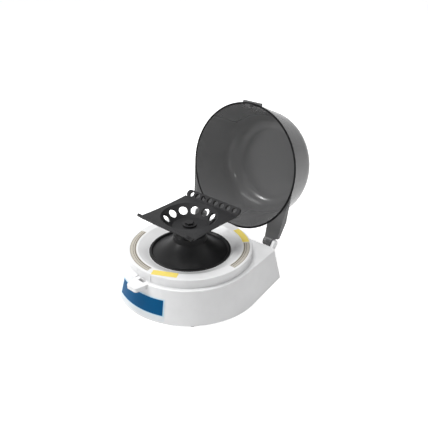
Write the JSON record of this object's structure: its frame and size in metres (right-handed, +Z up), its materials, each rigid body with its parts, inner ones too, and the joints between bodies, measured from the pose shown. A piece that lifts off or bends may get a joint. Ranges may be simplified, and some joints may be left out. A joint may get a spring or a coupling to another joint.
{
  "type": "mini centrifuge",
  "caption": "Mini centrifuge with a tapered housing, a flip-up smoked lid, a front push latch and a square rotor whose tilted bars hold strips of tubes.",
  "frame": {"origin": "on the surface that the feet stand on, under the middle of the whole with its lid open; the rotor's axis stands 34.664 mm in front of it, at y -34.664 mm", "axes": "+Z up, along the rotor's axis, +Y to the hinge at the back, +X to the right seen from the front; -Y is the latch side"},
  "size_m": [0.1646, 0.2413, 0.1861],
  "materials": {
    "housing": "satin moulded plastic",
    "pan": "moulded plastic",
    "rubber": "matt",
    "liner": "fine matt texture",
    "rotor": "matt moulded plastic",
    "hub": "turned",
    "steel": "plain",
    "laminations": "stacked plates",
    "smoked_lid": "polished, smoked",
    "magnet": "plain",
    "bronze": "sintered",
    "board": "solder mask",
    "black_trim": "matt",
    "switch": "gloss"
  },
  "bodies": {
    "base": {"upper_housing": "housing", "base_pan": "pan", "feet": "rubber", "housing_screws": "steel", "chamber_cone": "liner", "motor_mount": "steel", "mount_dampers": "rubber", "mount_screws": "steel", "motor_can": "steel", "motor_end_cap": "black_trim", "motor_bushes": "bronze", "motor_magnets": "magnet", "motor_screws": "steel", "hinge_pins": "steel", "power_inlet": "black_trim", "inlet_nut": "steel", "switch_frame": "black_trim", "circuit_board": "board", "board_screws": "steel", "board_parts": "black_trim", "lid_sensor": "black_trim"},
    "lid": {"lid": "smoked_lid", "lid_magnet": "magnet"},
    "rotor": {"motor_armature": "laminations", "rotor_shaft": "steel", "drive_hub": "hub", "strip_rotor": "rotor", "rotor_cap": "rotor"},
    "latch": {"latch_tongue": "housing"},
    "rocker": {"switch_rocker": "switch"}
  },
  "joints": [
    {"name": "lid_hinge", "type": "hinge", "parent": "base", "child": "lid", "pos_m": [0, 0.04004, 0.04], "axis": [1, 0, 0], "range_deg": [0, 101.9]},
    {"name": "rotor_spin", "type": "hinge", "parent": "base", "child": "rotor", "pos_m": [0, -0.03466, 0.05], "axis": [0, 0, 1], "continuous": true},
    {"name": "latch_press", "type": "hinge", "parent": "base", "child": "latch", "pos_m": [0, -0.10171, 0.0452], "axis": [1, 0, 0], "range_deg": [0, 5], "stiffness_Nm_per_rad": 0.2},
    {"name": "switch_rock", "type": "hinge", "parent": "base", "child": "rocker", "pos_m": [0.024, 0.03438, 0.02055], "axis": [0, -0.1518, 0.9884], "range_deg": [-18, 0]}
  ]
}
